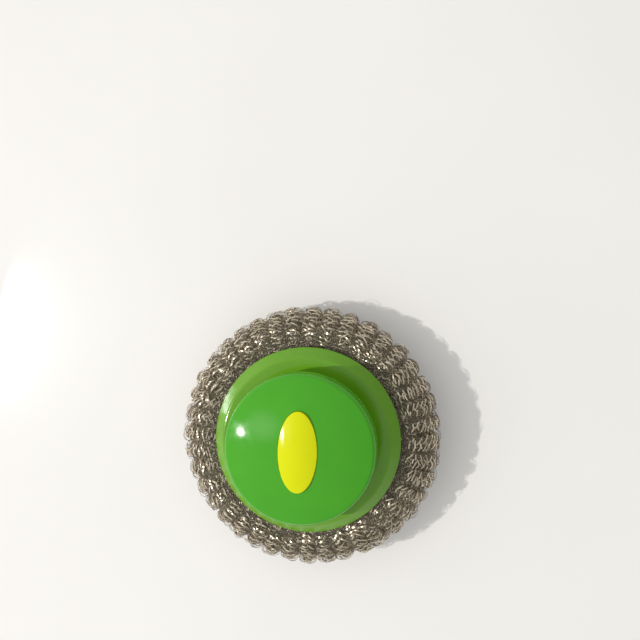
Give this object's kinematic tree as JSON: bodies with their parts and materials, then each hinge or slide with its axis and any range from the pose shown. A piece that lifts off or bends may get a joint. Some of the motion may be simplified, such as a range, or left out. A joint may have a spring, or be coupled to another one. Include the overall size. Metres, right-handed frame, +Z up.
{
  "type": "pot scrubber",
  "caption": "Round pad of coiled steel wool under a green knob that screws down on a bevelled flange, with a yellow oval inlay on the crown.",
  "frame": {"origin": "centre of the face that the wool pad stands on", "axes": "+Z up along the knob's axis, +Y along the long axis of the oval inlay"},
  "size_m": [0.1044, 0.1044, 0.0524],
  "materials": {
    "green_plastic": "moulded polypropylene, glossy",
    "yellow_plastic": "moulded, glossy",
    "natural_plastic": "natural moulded plastic, unpainted",
    "steel": "bright stainless",
    "steel_wool": "coiled stainless steel ribbon with bright edges"
  },
  "bodies": {
    "pad": {"wool_pad": "steel_wool"},
    "base": {"flange": "green_plastic", "wool_tuft": "steel_wool", "binding_ring": "steel"},
    "presser": {"pressure_disc": "natural_plastic"},
    "knob": {"knob_core": "green_plastic", "knob_cap": "green_plastic", "oval_inlay": "yellow_plastic", "swivel_screw": "steel", "swivel_washer": "steel"}
  },
  "joints": [
    {"name": "pad_press", "type": "slide", "parent": "pad", "child": "base", "axis": [0, 0, -1], "range_m": [0, 0.008], "stiffness_N_per_m": 1800, "deforming": ["wool_pad"]},
    {"name": "knob_lift", "type": "slide", "parent": "base", "child": "presser", "axis": [0, 0, 1], "range_m": [0, 0.007]},
    {"name": "knob_turn", "type": "hinge", "parent": "presser", "child": "knob", "pos_m": [0, 0, 0.036], "axis": [0, 0, 1], "range_deg": [0, 720]}
  ],
  "couplings": [
    {"joint": "knob_lift", "follows": "knob_turn", "m_per_rad": 0.00055704}
  ]
}
